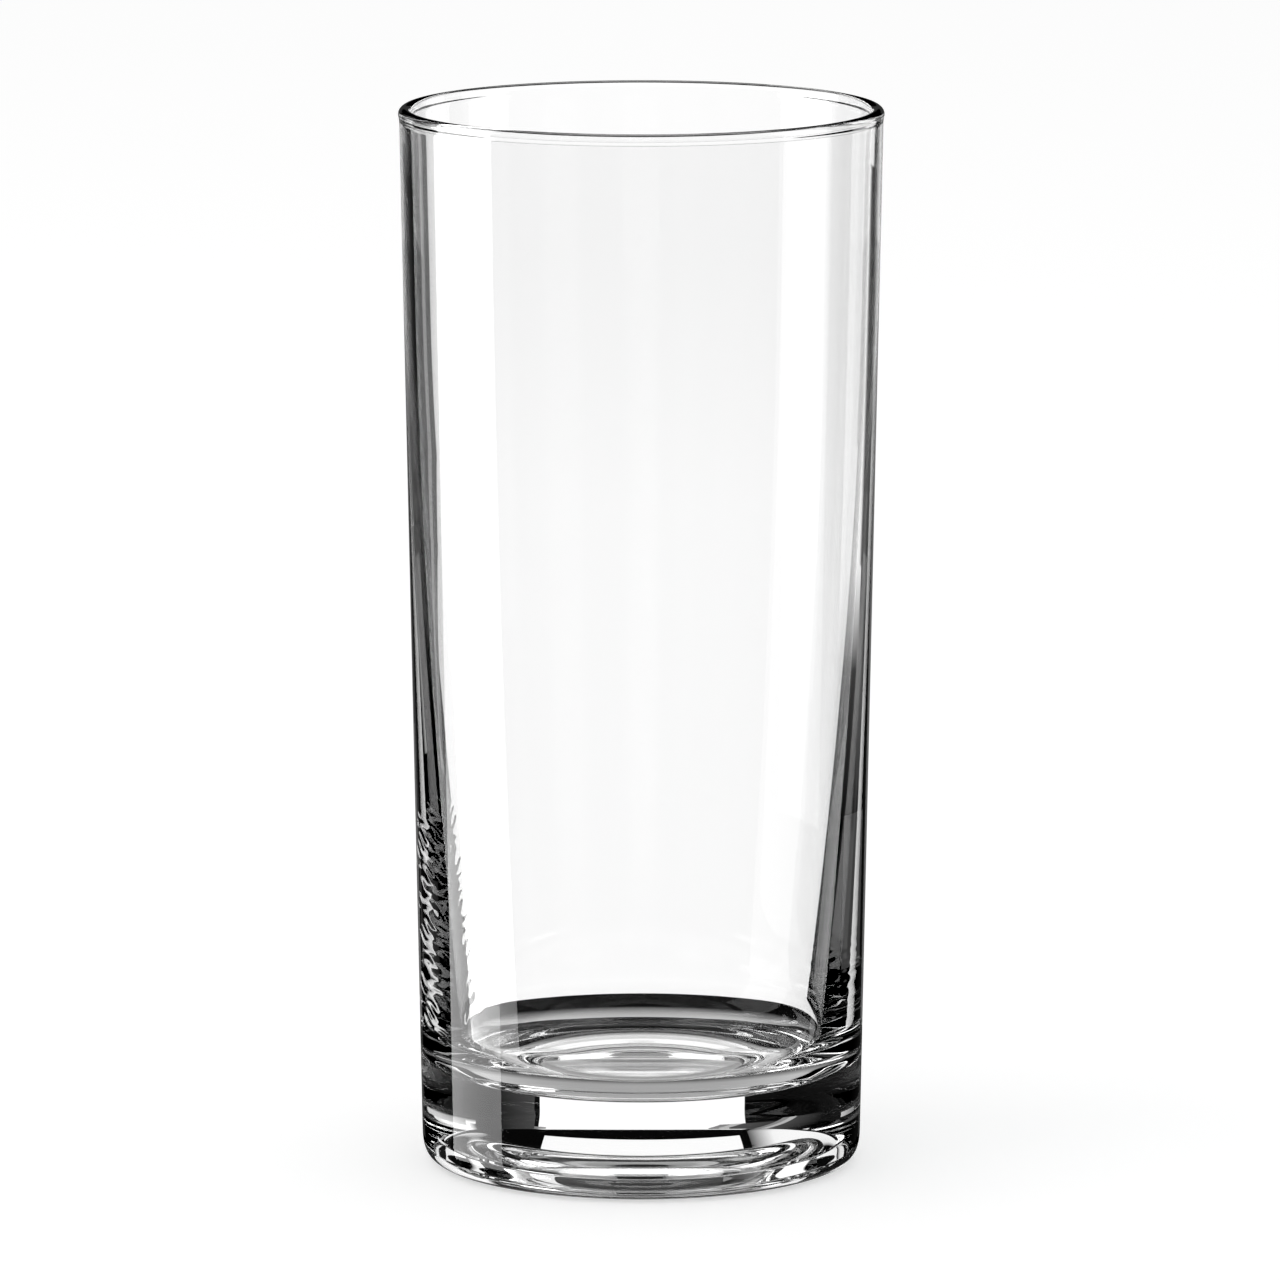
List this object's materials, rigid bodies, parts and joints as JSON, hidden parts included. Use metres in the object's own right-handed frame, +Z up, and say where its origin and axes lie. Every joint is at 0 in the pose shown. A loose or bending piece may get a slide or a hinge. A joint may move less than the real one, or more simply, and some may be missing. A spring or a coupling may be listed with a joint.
{
  "type": "highball glass",
  "caption": "Tall straight-sided highball glass in clear glass, tapering slightly to a heavy rounded base, with a rolled rim and a recess under the base",
  "frame": {"origin": "on the glass's axis, in the plane of the foot ring that it stands on", "axes": "+Z is up along the axis of revolution; the glass is round, so +X and +Y are any two level directions"},
  "size_m": [0.068, 0.068, 0.15],
  "materials": {
    "clear_glass": "fire-polished clear soda-lime glass"
  },
  "bodies": {
    "root": {"glass_tumbler": "clear_glass"}
  },
  "joints": []
}
